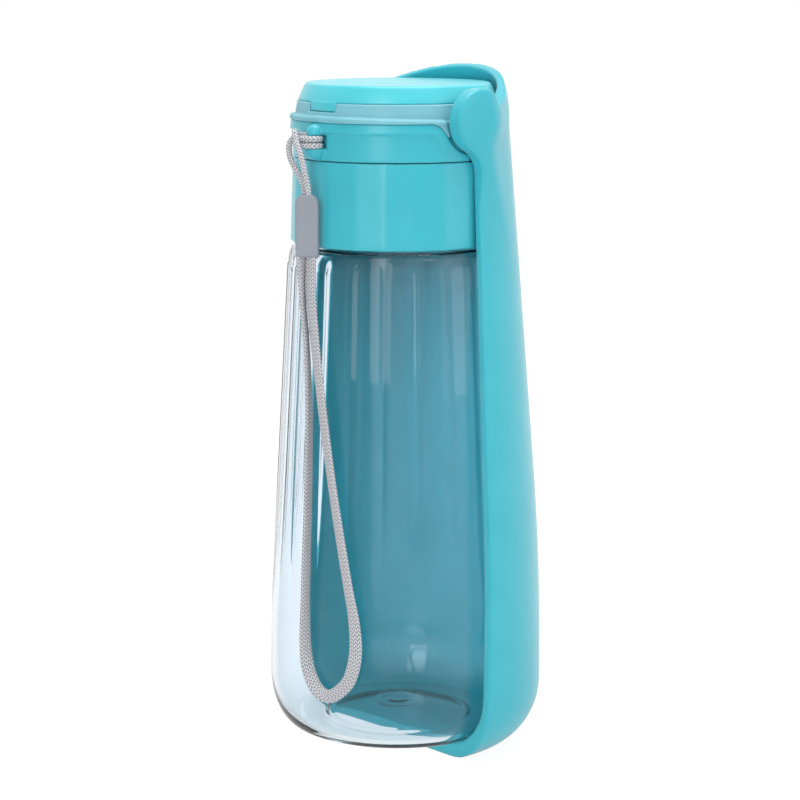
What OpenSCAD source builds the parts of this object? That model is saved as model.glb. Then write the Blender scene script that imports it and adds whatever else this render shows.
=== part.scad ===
// Travel water bottle with a swing-over drinking trough.
// Millimetres, +Z up. The front is -Y and the trough's hinge runs along X. The origin is on the
// bottle's axis, in the plane of the trough's flat underside, which the closed bottle stands on.

/* [Bottle] */
// Widest diameter of the bottle, just above its heel
belly_d = 81.8; // [76:0.1:90]
// Height of the bottle from its base to its shoulder
bottle_h = 154.6; // [120:0.1:180]
// How far the bottle's shoulder stands out past the head, all round
shoulder_step = 2.5; // [1.5:0.1:3]
// Wall of the bottle
bottle_wall = 1.8; // [1.2:0.1:2.5]
// Height of the rounded heel of the bottle
heel_h = 17; // [10:0.5:22]
// Width of the rounded heel of the bottle
heel_w = 8.9; // [5:0.1:12]
// Diameter of the raised middle of the base
punt_d = 46.8; // [30:0.1:56]
// Height of the raised middle of the base
punt_h = 1.2; // [0.6:0.1:4]

/* [Head] */
// Diameter of the head at the back, where the hood swings over it
head_d = 63.4; // [58:0.1:68]
// How far the front half of the head stands out past the back half
front_step = 0.9; // [0.4:0.1:1.2]
// Height of the ring nut
collar_h = 26.1; // [20:0.1:32]
// Number of flats round the ring nut
collar_flats = 22; // [16:1:30]
// Height of the head's shell, from the ring nut to the top of its flange
cap_h = 11.5; // [10.5:0.1:14]
// Wall of the head's shell
cap_wall = 1.8; // [1.4:0.1:2.2]
// Height of the front flange
flange_h = 2.8; // [2:0.1:3.5]
// How far the front flange stands out
flange_step = 0.7; // [0.3:0.1:1]
// Height of the soft lip
lip_h = 1.9; // [1.5:0.1:2.2]
// Height of the soft band above the lip
band_h = 3.8; // [3:0.1:4.5]
// Length of the lanyard lug's bar
lug_h = 11; // [9.5:0.1:11.4]
// Radius of the lanyard lug's bar
lug_bar_r = 1.1; // [0.9:0.1:1.2]

/* [Lid and valve] */
// Height of the lid
lid_h = 5.3; // [4.5:0.1:5.6]
// How far the lid pulls up
lid_lift = 3; // [2:0.1:3]
// Width of the thumb tab
tab_w = 11.5; // [8:0.5:20]
// How far the thumb tab hangs below the lid
tab_h = 2.6; // [1:0.1:3]
// Diameter of the valve's bore
valve_d = 16.1; // [12:0.1:20]
// Thickness of the valve's O-ring
oring_w = 1.4; // [1:0.1:1.5]

/* [Trough] */
// Wall of the hood
hood_wall = 2.5; // [2:0.1:3]
// Running gap between the head and the hood
hood_gap = 0.6; // [0.5:0.1:1]
// Gap between the trough and the bottle at its widest
belly_gap = 2.8; // [2:0.1:5]
// Wall of the trough at its rim, beside the bottle's widest part
rim_wall = 3.1; // [2.5:0.1:4]
// Thickness of the trough's floor
floor_t = 3.5; // [2.5:0.1:5]
// Gap between the floor of the trough and the bottle's base
base_gap = 1.8; // [1.5:0.1:4]
// Angle of the hood's rim above the horizontal
hood_deg = 26; // [22:1:27]

/* [Hinge] */
// Radius of the ears
ear_r = 9.7; // [8:0.1:10.5]
// Thickness of the ears
ear_t = 5.3; // [4.5:0.1:6]
// Radius of the hinge pins
pin_r = 2.5; // [2:0.1:3]
// Radial running clearance of the pins in the ears
pin_gap = 0.05; // [0.03:0.01:0.1]

/* [Hidden] */
$fn = 96;

TEAL = [0.29, 0.74, 0.79];
SILICONE = [0.62, 0.82, 0.87];
far = 120;        // larger than the object, for cutting
seam = 0.3;       // parting gap between mouldings
collar_gap = 0.5; // running gap between the ring nut and the bottle's shoulder
hinge_rise = 0.7; // height of the hinge above the flange
slip = 0.3;       // clearance of pieces that move past each other

// Heights, from the floor up
base_z = floor_t + base_gap;
belly_z = base_z + heel_h;
shoulder_z = base_z + bottle_h;
collar_z = shoulder_z + collar_gap;
collar_top = collar_z + collar_h;
cap_z = collar_top + seam;
flange_top = cap_z + cap_h;
hinge_z = flange_top + hinge_rise;
lip_top = flange_top + lip_h;
band_top = lip_top + band_h;
lid_z = band_top + 0.1;
lid_top = lid_z + lid_h;

// Radii of the head
head_r = head_d / 2;
front_r = head_r + front_step;
flange_r = front_r + flange_step;
lip_r = flange_r + 0.2;
core_r = head_r - 3.1;
core_in = core_r - 2.1;
shell_in = head_r - cap_wall;
nut_step = 0.95;  // how far the ring nut's top stands out past the head, and its foot past its top
collar_top_r = head_r + nut_step;
collar_low_r = collar_top_r + nut_step;

// Bottle and neck
belly_r = belly_d / 2;
shoulder_r = head_r + shoulder_step;
shoulder_arc = [2.3, 6.5];     // width and height of the rounded shoulder
belly_arc = 33;
neck_r = head_r - 3.9;
neck_wall = 2.2;
neck_in = neck_r - neck_wall;
thread_h = 1.6;
thread_out = 1.2;
thread_pitch = 6;
collar_bore = neck_r + thread_out + slip;
collar_lid_t = 1.9;
gasket_t = 1.3;
insert_flange_t = 1.3;
insert_flange_top = collar_top - collar_lid_t - 0.1;
gasket_top = insert_flange_top - insert_flange_t;
neck_top = gasket_top - gasket_t;

// Valve
deck_z = hinge_z;
deck_t = 1.8;
insert_r = core_in - 0.2;
insert_wall = 2;
seat_t = 2.2;
seat_wall = 2.1;
seat_rise = 2;
bore_r = valve_d / 2;
plug_r = bore_r - 0.15;
plug_z = deck_z - 0.1;
groove_z = plug_z + 0.3;
groove_h = oring_w + 0.1;
lid_wall = 1.8;
stem_flange_t = 1;
clip_t = 1.5;
clip_z = deck_z - seat_t - 0.2 - lid_lift - clip_t;
stem_pin_r = 2.2;

// Trough: the cavity and the outside are round about the bottle's axis
hood_in = head_r + hood_gap;
hood_out = hood_in + hood_wall;
trough_heel = [16, 17];        // width and height of the cavity's rounded heel
shell_heel = [14, 22.5];       // width and height of the outside's rounded heel
cavity_depth = hinge_z - floor_t - trough_heel[1];
shell_depth = hinge_z + 0.5 - shell_heel[1];
cavity_end_r = belly_r + belly_gap;
shell_end_r = cavity_end_r + rim_wall;
shell_tilt = 0.4;              // the outside leans forward, so the wall is thicker at the rim
rim_y = 1.4;                   // the trough's rim plane at the hinge's height
rim_slope = 0.03;

// Hinge
ear_in = hood_in + 0.9;        // the ears run outside the head's lip
ear_out = ear_in + ear_t;
pocket_r = ear_r + 0.5;        // pocket in the head's front round each ear
lip_deg = 2;                   // lean of the soft lip's top
boss_r = 4.5;
boss_x = head_r - 0.1;
pin_in = insert_r + 1;
pin_out = ear_out - 1.3;

// Lanyard lug
lug_y = -(front_r + 2);
recess_y = -(front_r - 1.4);
lug_top = flange_top - 0.3;
lug_low = lug_top - lug_h;
slot_low = lug_low + 3;        // the cord's slot in the lug
slot_top = lug_top - 3.1;

// Lanyard: routes are x, y and the height below the hinge
cord_d = 1.8;
strap_d = 2.6;
sleeve_w = 7;
sleeve_t = 3.2;
sleeve_h = 19;
sleeve_turn = 42;
sleeve_pos = [1.1, -37.8, -41];
cord_route = [
    [0.2, -38, -24], [-0.9, -37.5, -19.5], [-2.9, -38.6, -15], [-6.2, -38.3, -11], [-7.3, -37.4, -7],
    [-5.4, -35.4, -4.6], [-2.6, -33.2, -5.4], [0, -32.3, -5.5], [2.2, -33.4, -5.5], [2.3, -35.8, -5.5],
    [0.4, -37, -5.5], [-1.8, -37.3, -5.4], [-3.6, -37.6, -5.6], [-4.4, -37.8, -6.5], [-3.6, -37.6, -7.4],
    [-1.8, -37.3, -7.5], [0.4, -37, -7.5], [2.3, -35.8, -7.5], [2.2, -33.4, -7.5], [0, -32.3, -7.5],
    [-3.1, -33.1, -7.3], [-4.8, -35.3, -8.4], [-2, -37.6, -11], [0.3, -38.5, -15], [2.2, -38.6, -19.5],
    [2, -37.6, -24]
];
strap_route = [
    [-0.1, -38.9, -39], [-0.9, -38.6, -45], [-0.9, -38, -56], [0.8, -38, -70], [2.5, -38.8, -90],
    [3.3, -40.1, -115], [3.6, -41.3, -136], [3.9, -42.1, -152], [4.4, -42.4, -162], [5.9, -42.3, -169],
    [9.1, -41.8, -174], [13.1, -40.8, -175.6], [16.9, -39.4, -173.5], [20, -37.8, -169], [21.5, -36.8, -161],
    [20.9, -36.9, -151], [18.6, -37.6, -139], [13.4, -38.2, -114], [8.6, -38.2, -90], [4.6, -37.7, -69],
    [2.2, -37.2, -55], [1.6, -37, -45], [2.1, -37, -39]
];

// ---- outlines, as points [radius, height] ----

// A quarter of an ellipse from [r, z] outwards and upwards to [r + a, z + b]
function heel(r, z, a, b, n = 10) =
    [for (i = [0:n]) [r + a * sin(90 * i / n), z + b * (1 - cos(90 * i / n))]];

// Radius at a depth below the start of a taper from r0 to r1 that begins and ends upright
function taper(depth, r0, r1, full, arc0, arc1) =
    let(slope = (r1 - r0) / (full - arc0 / 2 - arc1 / 2), left = full - depth)
    depth < arc0 ? r0 + slope * depth * depth / (2 * arc0)
    : left < arc1 ? r1 - slope * left * left / (2 * arc1)
    : r0 + slope * (depth - arc0 / 2);

function cavity_r(depth) = taper(depth, hood_in, cavity_end_r, cavity_depth, 8, 57);
function shell_r(depth) = taper(depth, hood_out, shell_end_r, shell_depth, 20, 63);
function bottle_r(z) = taper(shoulder_z - z, shoulder_r, belly_r, shoulder_z - belly_z, 0.01, belly_arc);

// Outline of the trough's outside or cavity, from its foot to the top of the hood's sphere
function trough_line(foot_z, heel_size, end_r, depth, ball_r, outside) = concat(
    [[0, foot_z]],
    heel(end_r - heel_size[0], foot_z, heel_size[0], heel_size[1]),
    [for (d = [depth:-depth / 24:1]) [outside ? shell_r(d) : cavity_r(d), hinge_z - d]],
    [for (a = [0:5:90]) [ball_r * cos(a), hinge_z + ball_r * sin(a)]]
);

function rim_at(z) = rim_y - rim_slope * (hinge_z - z);

// ---- helpers ----

// Cuts a half: the front (y < at) or the back (y > at)
module front_of(at) translate([-far, at - 2 * far, -far]) cube([2 * far, 2 * far, 4 * far]);
module ring(r_out, r_in, z0, z1) translate([0, 0, z0]) difference() {
    cylinder(r = r_out, h = z1 - z0);
    translate([0, 0, -1]) cylinder(r = r_in, h = z1 - z0 + 2);
}
// A cylinder along X at the hinge, from x0 to x1, on the right (side = 1) or the left (-1)
module at_hinge(side, x0, x1, r) translate([side > 0 ? x0 : -x1, 0, hinge_z]) rotate([0, 90, 0])
    cylinder(r = r, h = x1 - x0);

function unit(v) = v / norm(v);
function tangent(p, i) = unit(p[min(i + 1, len(p) - 1)] - p[max(i - 1, 0)]);
function carried(p, i, n) = i == len(p) ? []
    : let(t = tangent(p, i), m = unit(n - (n * t) * t)) concat([m], carried(p, i + 1, m));
function midway(a, b, c, d) = (9 * (b + c) - a - d) / 16;
// The route again, with a point added halfway between each two
function finer(p) = concat([for (i = [0:len(p) - 2]) each
    [p[i], midway(p[max(i - 1, 0)], p[i], p[i + 1], p[min(i + 2, len(p) - 1)])]], [p[len(p) - 1]]);

// A cord's tube along a route
module tube(route, r, sides = 8) {
    p = [for (q = route) [q[0], q[1], hinge_z + q[2]]];
    n = carried(p, 0, [1, 0, 0]);
    last = len(p) - 1;
    rings = [for (i = [0:last], k = [0:sides - 1])
        let(a = 360 * k / sides) p[i] + r * (cos(a) * n[i] + sin(a) * cross(tangent(p, i), n[i]))];
    walls = [for (i = [0:last - 1], k = [0:sides - 1])
        let(a = i * sides + k, b = i * sides + (k + 1) % sides) [a, b, b + sides, a + sides]];
    caps = [[for (k = [sides - 1:-1:0]) k], [for (k = [0:sides - 1]) last * sides + k]];
    polyhedron(rings, [for (f = concat(walls, caps)) [for (j = [len(f) - 1:-1:0]) f[j]]]);
}

// ---- bottle ----

module bottle() {
    heel_r = belly_r - heel_w;
    punt_r = punt_d / 2;
    punt_slope = 2;
    neck_foot = 0.8;
    shoulder_low = shoulder_z - shoulder_arc[1];
    floor_in = base_z + punt_h + bottle_wall + 0.4;
    outside = concat(
        [[0, base_z + punt_h], [punt_r - punt_slope, base_z + punt_h], [punt_r, base_z]],
        heel(heel_r, base_z, heel_w, heel_h),
        [for (z = [belly_z + 3:3.3:belly_z + belly_arc]) [bottle_r(z), z]],
        [[bottle_r(shoulder_low), shoulder_low]],
        [for (a = [15:15:90]) [
            shoulder_r - shoulder_arc[0] * (1 - cos(a)), shoulder_low + shoulder_arc[1] * sin(a)
        ]],
        [[neck_r + neck_foot, shoulder_z], [neck_r, shoulder_z + neck_foot]],
        [[neck_r, neck_top], [0, neck_top]]
    );
    inside = concat(
        [[0, floor_in]],
        heel(heel_r, floor_in, heel_w - bottle_wall, heel_h - bottle_wall - punt_h),
        [for (z = [belly_z + 3:3.3:belly_z + belly_arc]) [bottle_r(z) - bottle_wall, z]],
        [[shoulder_r - bottle_wall, shoulder_low]],
        [[neck_in + 3, shoulder_z - bottle_wall - 1], [neck_in, shoulder_z - bottle_wall + 0.5]],
        [[neck_in, neck_top + 1], [0, neck_top + 1]]
    );
    color([0.82, 0.92, 0.95, 0.45]) union() {
        difference() {
            rotate_extrude() polygon(outside);
            rotate_extrude() polygon(inside);
        }
        for (k = [0, 1])
            thread_ring(collar_z + 7 + k * thread_pitch, neck_r - 0.5, thread_out + 0.5);
    }
}

// A thread turn, as a ring: it starts at radius r and stands out by that much, or in if it is negative
module thread_ring(z, r, out) rotate_extrude() polygon([
    [r, z], [r, z + thread_h + 0.8], [r + out, z + thread_h], [r + out, z + 0.8]
]);

module neck_gasket() color([0.85, 0.87, 0.88]) ring(neck_r - 0.1, neck_in + 0.3, neck_top, gasket_top);

// ---- ring nut ----

module screw_collar() {
    flat_top = collar_top_r * cos(180 / collar_flats);
    flat_low = collar_low_r * cos(180 / collar_flats);
    lean = atan((flat_low - flat_top) / collar_h);
    color(TEAL) union() {
        difference() {
            rotate_extrude() polygon([
                [0, collar_z], [collar_low_r, collar_z], [collar_top_r, collar_top], [0, collar_top]
            ]);
            translate([0, 0, collar_z - 1]) cylinder(r = collar_bore, h = collar_h - collar_lid_t + 1);
            cylinder(r = insert_r + slip, h = 3 * far);
            for (k = [0:collar_flats - 1]) rotate([0, 0, k * 360 / collar_flats])
                translate([0, -flat_low, collar_z]) rotate([-lean, 0, 0])
                    translate([-10, -10, -5]) cube([20, 10, collar_h + 10]);
        }
        for (k = [0, 1])
            thread_ring(collar_z + 4 + k * thread_pitch, collar_bore + 0.5, -(thread_out + 0.4));
    }
}

// ---- head ----

module spout_insert() color([0.93, 0.95, 0.96]) difference() {
    union() {
        ring(insert_r, insert_r - insert_wall, insert_flange_top - 0.5, deck_z);
        ring(neck_r + 0.7, neck_in - 2.3, gasket_top, insert_flange_top);
        ring(neck_in - 0.3, neck_in - 2.3, neck_top - 5, gasket_top + 0.1);
        ring(insert_r - insert_wall + 0.5, bore_r, deck_z - seat_t, deck_z);
        ring(bore_r + seat_wall, bore_r, deck_z - 0.5, deck_z + seat_rise);
    }
    translate([0, 0, deck_z - far]) cylinder(r = bore_r, h = 2 * far);
}

module cap_body() {
    color(TEAL) difference() {
        union() {
            ring(head_r, shell_in, cap_z, flange_top);
            ring(head_r, core_in, flange_top - cap_wall, flange_top);
            ring(core_r, core_in, flange_top - 0.5, band_top - 0.4);
            ring(core_r, bore_r + seat_wall + 0.2, deck_z, deck_z + deck_t);
            cap_front();
            for (side = [1, -1]) difference() {
                at_hinge(side, core_in, boss_x, boss_r);
                cylinder(r = core_in, h = 3 * far);
            }
        }
        for (side = [1, -1]) at_hinge(side, 0, boss_x + 1, pin_r);
        translate([-4, recess_y, slot_low - 0.1]) mirror([0, 1, 0]) cube([8, 3, slot_top - slot_low + 0.2]);
    }
    color(TEAL) lug();
}

// The front half stands out past the back half, with a flange along its top, and stops round the ears
module cap_front() difference() {
    intersection() {
        rotate_extrude() polygon([
            [shell_in, cap_z], [front_r, cap_z], [front_r, flange_top - flange_h - 0.7],
            [flange_r - 0.2, flange_top - flange_h], [flange_r, flange_top - flange_h + 0.5],
            [flange_r, flange_top], [shell_in, flange_top]
        ]);
        front_of(0);
    }
    ear_pocket(pocket_r);
}

// The space round both ears, outside the back half's radius
module ear_pocket(r) difference() {
    translate([-far, 0, hinge_z]) rotate([0, 90, 0]) cylinder(r = r, h = 2 * far);
    cylinder(r = head_r - 0.01, h = 3 * far);
}

// Lanyard lug: an upright bar between two rounded pads, with a gap behind it for the cord
module lug() {
    pad_r = 3.3;
    knob_r = 2.7;
    translate([0, lug_y, lug_low + 1]) cylinder(r = lug_bar_r, h = lug_h - 2);
    lug_pad(lug_low + pad_r - 0.8, pad_r, lug_low, slot_low);
    lug_pad(lug_top - knob_r, knob_r, slot_top, lug_top + 0.1);
}

// The part of a ball on the shell's front that lies between two heights
module lug_pad(ball_z, r, z0, z1) intersection() {
    translate([0, lug_y + 1.2, ball_z]) sphere(r = r);
    translate([-far, lug_y - far, z0]) cube([2 * far, far + recess_y - lug_y - 0.1, z1 - z0]);
}

// Soft band round the head, with a lip along the front that also lines the pockets at the ears
module lip_seal() {
    notch_w = tab_w + 2 * slip;
    color(SILICONE) difference() {
        union() {
            rotate_extrude() polygon([
                [core_r, flange_top], [head_r, flange_top], [head_r, lip_top],
                [head_r - 0.5, band_top], [core_r, band_top]
            ]);
            front_lip();
            pocket_lining();
        }
        for (side = [1, -1]) at_hinge(side, core_r - 1, head_r + 10, boss_r + 0.1);
        translate([-notch_w / 2, -far, lid_z - tab_h - slip]) cube([notch_w, far, far]);
        translate([0, 0, flange_top]) cylinder(r = core_r, h = far);
    }
}

// The lip's top leans with a plane through the hinge, so the hood's rim lands along it
module front_lip() difference() {
    intersection() {
        rotate_extrude() polygon([
            [core_r, flange_top], [lip_r, flange_top], [lip_r, lip_top + 1], [core_r, lip_top + 1]
        ]);
        front_of(0);
    }
    translate([0, 0, hinge_z]) rotate([-lip_deg, 0, 0]) translate([-far, -2 * far, 0])
        cube([2 * far, 3 * far, far]);
    ear_pocket(pocket_r - 1.4);
}

module pocket_lining() intersection() {
    rotate_extrude() polygon([
        [head_r, cap_z + 0.4], [head_r + 0.6, cap_z + 0.4], [head_r + 0.6, hinge_z - 0.1],
        [head_r - 0.4, hinge_z - 0.1], [head_r - 0.4, flange_top + 0.05], [head_r, flange_top]
    ]);
    front_of(-0.5);
    translate([-far, 0, hinge_z]) rotate([0, 90, 0]) cylinder(r = pocket_r, h = 2 * far);
}

module hinge_pin(side) color([0.75, 0.76, 0.78]) {
    at_hinge(side, pin_in, pin_out, pin_r);
}
module hinge_pin_right() hinge_pin(1);
module hinge_pin_left() hinge_pin(-1);

// ---- lid ----

module lid_cover() {
    skirt_r = head_r - 0.9;
    skirt_in = core_r + 0.4;
    top_r = skirt_r - 2.3;
    tab_r = skirt_r + 0.2;
    color([0.4, 0.84, 0.88]) union() {
        rotate_extrude() polygon([
            [0, lid_top], [top_r - 0.6, lid_top], [top_r, lid_top - 0.5], [skirt_r, lid_z], [skirt_in, lid_z],
            [skirt_in, lid_top - lid_wall - 1.6], [top_r - lid_wall, lid_top - lid_wall],
            [0, lid_top - lid_wall]
        ]);
        intersection() {
            ring(tab_r, skirt_in + 0.3, lid_z - tab_h, lid_z + 0.6);
            translate([-tab_w / 2, -far, 0]) cube([tab_w, far, 3 * far]);
        }
    }
}

module lid_stem() {
    top = lid_top - lid_wall;
    pin_low = clip_z - 1.5;
    groove_r = plug_r - oring_w + 0.1;
    flange = plug_r + 4;
    color([0.93, 0.95, 0.96]) union() {
        rotate_extrude() polygon([
            [0, plug_z], [plug_r, plug_z], [plug_r, groove_z], [groove_r, groove_z],
            [groove_r, groove_z + groove_h], [plug_r, groove_z + groove_h],
            [plug_r, top - stem_flange_t], [flange, top - stem_flange_t], [flange, top], [0, top]
        ]);
        intersection() {
            union() for (a = [0, 90]) rotate([0, 0, a]) translate([-plug_r, -0.8, clip_z + clip_t])
                cube([2 * plug_r, 1.6, plug_z - clip_z - clip_t + 0.1]);
            cylinder(r = plug_r, h = 3 * far);
        }
        translate([0, 0, pin_low + 0.5]) cylinder(r = stem_pin_r, h = plug_z - pin_low);
        translate([0, 0, pin_low]) cylinder(r = stem_pin_r + 0.4, h = 1.4);
    }
}

module lid_oring() color([0.2, 0.22, 0.24]) translate([0, 0, groove_z + groove_h / 2]) rotate_extrude()
    translate([bore_r - 0.05 - oring_w / 2, 0]) circle(r = oring_w / 2);

module stem_clip() color([0.93, 0.95, 0.96]) translate([0, 0, clip_z]) difference() {
    union() {
        cylinder(r = stem_pin_r + 2, h = clip_t);
        for (a = [0:120:240]) rotate([0, 0, a]) translate([0, -1.5, 0]) cube([bore_r + 2.5, 3, clip_t]);
    }
    translate([0, 0, -1]) cylinder(r = stem_pin_r + 0.05, h = clip_t + 2);
}

// ---- trough ----

// The fillet in the corner between the ear and a straight edge that starts at the hinge.
// The edge leaves at edge_deg, shifted sideways by shift, and the fillet lies on the side of turn.
module ear_fillet(edge_deg, shift, turn, r) {
    reach = ear_r + r;
    side = shift + r;
    along = sqrt(reach * reach - side * side);
    rotate(edge_deg) mirror([0, turn < 0 ? 1 : 0]) difference() {
        polygon([[0, 0], [0, shift], [along, shift - 0.5], [along, side]]);
        translate([along, side]) circle(r = r);
    }
}

// Side view of the trough, as [y, z] from the hinge
module wall_side() polygon([
    [0, 0], [rim_y, 0], [rim_at(-1), -hinge_z - 1], [far, -hinge_z - 1], [far, far * tan(hood_deg)]
]);

module ear_side() {
    wall_side();
    circle(r = ear_r);
    ear_fillet(hood_deg, 0, 1, 4.5);
    ear_fillet(-90 - atan(rim_slope), -rim_y, -1, 3.5);
}

// An outline in [y, z] from the hinge, run along X from x0 to x1
module along_x(x0, x1) translate([x0, 0, hinge_z]) rotate([90, 0, 90]) linear_extrude(x1 - x0) children();

module cavity() rotate_extrude()
    polygon(trough_line(floor_t, trough_heel, cavity_end_r, cavity_depth, hood_in, false));

module trough_wall() difference() {
    intersection() {
        translate([0, 0, hinge_z]) rotate([-shell_tilt, 0, 0]) translate([0, 0, -hinge_z]) rotate_extrude()
            polygon(trough_line(-0.5, shell_heel, shell_end_r, shell_depth, hood_out, true));
        along_x(-far, far) wall_side();
        translate([-far, -far, 0]) cube([2 * far, 2 * far, 4 * far]);
    }
    cavity();
}

// An ear: a disc on the hinge, whose flank runs into the wall behind and below it
module ear(side) difference() {
    flank = 5.5;
    intersection() {
        translate([side * (ear_out - 0.6 - flank), 0, hinge_z]) rotate([0, side * 90, 0])
            cylinder(r1 = ear_r + flank, r2 = ear_r - 0.6, h = flank + 0.6);
        along_x(-far, far) ear_side();
    }
    cavity();
    at_hinge(side, 0, ear_in, ear_r + flank + 1);
}

module trough() color(TEAL) difference() {
    union() {
        trough_wall();
        for (side = [1, -1]) ear(side);
        for (side = [1, -1]) intersection() {
            at_hinge(side, hood_in + 0.2, ear_in + 0.5, boss_r);
            cylinder(r = far, h = 3 * far);
        }
    }
    for (side = [1, -1]) at_hinge(side, hood_in - 2, pin_out + 0.1, pin_r + pin_gap);
}

// ---- lanyard ----

module lanyard_cord() color([0.72, 0.73, 0.75]) tube(cord_route, cord_d / 2);

module lanyard_sleeve() color([0.64, 0.66, 0.69])
    translate([sleeve_pos[0], sleeve_pos[1], hinge_z + sleeve_pos[2]]) rotate([0, 0, sleeve_turn])
        rotate([90, 0, 0]) translate([0, 0, -sleeve_t / 2]) linear_extrude(sleeve_t) {
            round_r = 2.6;
            translate([-sleeve_w / 2, 0]) square([sleeve_w, sleeve_h - round_r]);
            translate([-sleeve_w / 2 + round_r, 0]) square([sleeve_w - 2 * round_r, sleeve_h]);
            for (x = [-1, 1])
                translate([x * (sleeve_w / 2 - round_r), sleeve_h - round_r]) circle(r = round_r);
        }

module lanyard_strap() color([0.72, 0.73, 0.75]) tube(finer(strap_route), strap_d / 2);

bottle();
neck_gasket();
screw_collar();
spout_insert();
cap_body();
lip_seal();
hinge_pin_right();
hinge_pin_left();
lid_cover();
lid_stem();
lid_oring();
stem_clip();
trough();
lanyard_cord();
lanyard_sleeve();
lanyard_strap();
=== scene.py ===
"""Looks of the travel water bottle with a swing-over trough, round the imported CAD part."""

import math

import bpy
import numpy as np
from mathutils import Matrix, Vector


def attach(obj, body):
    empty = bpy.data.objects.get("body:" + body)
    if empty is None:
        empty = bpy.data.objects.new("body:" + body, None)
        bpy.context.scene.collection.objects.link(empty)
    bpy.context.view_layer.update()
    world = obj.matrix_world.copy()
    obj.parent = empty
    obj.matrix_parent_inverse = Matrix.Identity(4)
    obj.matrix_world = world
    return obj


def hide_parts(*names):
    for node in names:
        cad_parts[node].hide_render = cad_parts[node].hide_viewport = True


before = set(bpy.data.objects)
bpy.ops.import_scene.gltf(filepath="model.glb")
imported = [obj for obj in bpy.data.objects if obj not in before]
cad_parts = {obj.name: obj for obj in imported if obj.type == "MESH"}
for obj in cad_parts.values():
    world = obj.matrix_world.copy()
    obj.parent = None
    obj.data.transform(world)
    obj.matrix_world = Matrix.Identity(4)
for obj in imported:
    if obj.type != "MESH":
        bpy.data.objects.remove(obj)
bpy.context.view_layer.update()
FINE = 1.0  # grid steps are multiplied by this
MM = 0.001

# ---- sizes, in mm, as in the CAD source ----
HINGE = 199.0
HEAD_R, FRONT_R, FLANGE_R, LIP_R = 31.7, 32.6, 33.3, 33.5
CORE_R, CORE_IN, SHELL_IN = 28.6, 26.5, 29.9
CAP_Z, FLANGE_TOP, LIP_TOP, BAND_TOP = 186.8, 198.3, 200.2, 204.0
LID_Z, LID_TOP = 204.1, 209.4
COLLAR_Z, COLLAR_TOP = 160.4, 186.5
BASE_Z, BELLY_Z, SHOULDER_Z, NECK_TOP = 5.3, 22.3, 159.9, 181.8
BELLY_R, SHOULDER_R, NECK_R = 40.9, 34.2, 27.8
HOOD_IN, HOOD_OUT = 32.1, 34.5
EAR_R, EAR_IN, EAR_OUT = 9.7, 33.2, 38.5
POCKET_R = 9.9
FLATS = 22


# ---- meshes ----
def make(name, points, faces, node=None, body="head", uv=None):
    """A smooth mesh piece from points in mm, riding on a CAD body."""
    mesh = bpy.data.meshes.new(name)
    points = np.asarray(points, float) * MM
    mesh.from_pydata(points.tolist(), [], faces if isinstance(faces, list) else faces.tolist())
    mesh.polygons.foreach_set("use_smooth", np.ones(len(mesh.polygons), bool))
    if uv is not None:
        layer = mesh.uv_layers.new(name="UVMap")
        loops = np.zeros(len(mesh.loops), np.int32)
        mesh.loops.foreach_get("vertex_index", loops)
        layer.data.foreach_set("uv", np.asarray(uv, np.float32)[loops].ravel())
    mesh.update()
    obj = bpy.data.objects.new(name, mesh)
    bpy.context.scene.collection.objects.link(obj)
    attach(obj, body)
    if node:
        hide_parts(node)
    return obj


def steps(*parts):
    """Grid lines through (start, stop, step) parts, each at most that step apart."""
    out = []
    for a, b, s in parts:
        n = max(1, round((b - a) / (s * FINE)))
        out += [a + (b - a) * i / n for i in range(n)]
    return np.array([*out, parts[-1][1]], float)


def both_sides(*parts):
    half = steps(*parts)
    return np.concatenate([-half[:0:-1], half])


def rmax(a, b, r):
    """Intersection with an edge rounded to r."""
    return np.minimum(-r, np.maximum(a, b)) + np.hypot(np.maximum(a + r, 0), np.maximum(b + r, 0))


def rmin(a, b, r):
    return -rmax(-a, -b, r)


def smin(a, b, k):
    h = np.maximum(k - np.abs(a - b), 0) / k
    return np.minimum(a, b) - h * h * k / 4


def smoothstep(x, a, b):
    t = np.clip((x - a) / (b - a), 0, 1)
    return t * t * (3 - 2 * t)


def outline_distance(points, closed, u_range, v_range, step=0.4):
    """Function of (u, v): signed distance to an outline, read off a table and negative inside.

    If the outline isn't closed, its last side doesn't count as a surface.
    """
    (u0, u1), (v0, v1) = u_range, v_range
    us = np.arange(u0, u1 + step, step)
    vs = np.arange(v0, v1 + step, step)
    U, V = np.meshgrid(us, vs, indexing="ij")
    p = np.array(points, float)
    best = np.full(U.shape, 1e9)
    odd = np.zeros(U.shape, bool)
    for i in range(len(p)):
        a, b = p[i], p[(i + 1) % len(p)]
        if closed or i < len(p) - 1:
            d = b - a
            t = np.clip(((U - a[0]) * d[0] + (V - a[1]) * d[1]) / max(d @ d, 1e-12), 0, 1)
            best = np.minimum(best, np.hypot(U - a[0] - t * d[0], V - a[1] - t * d[1]))
        if a[1] != b[1]:
            beside = U < (b[0] - a[0]) * (V - a[1]) / (b[1] - a[1]) + a[0]
            odd ^= ((a[1] > V) != (b[1] > V)) & beside
    table = np.where(odd, -best, best)

    def read(u, v):
        i = np.clip((u - u0) / step, 0, len(us) - 1.001)
        j = np.clip((v - v0) / step, 0, len(vs) - 1.001)
        i0, j0 = i.astype(np.int32), j.astype(np.int32)
        fi, fj = i - i0, j - j0
        return (
            table[i0, j0] * (1 - fi) * (1 - fj)
            + table[i0 + 1, j0] * fi * (1 - fj)
            + table[i0, j0 + 1] * (1 - fi) * fj
            + table[i0 + 1, j0 + 1] * fi * fj
        )

    return read


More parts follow.
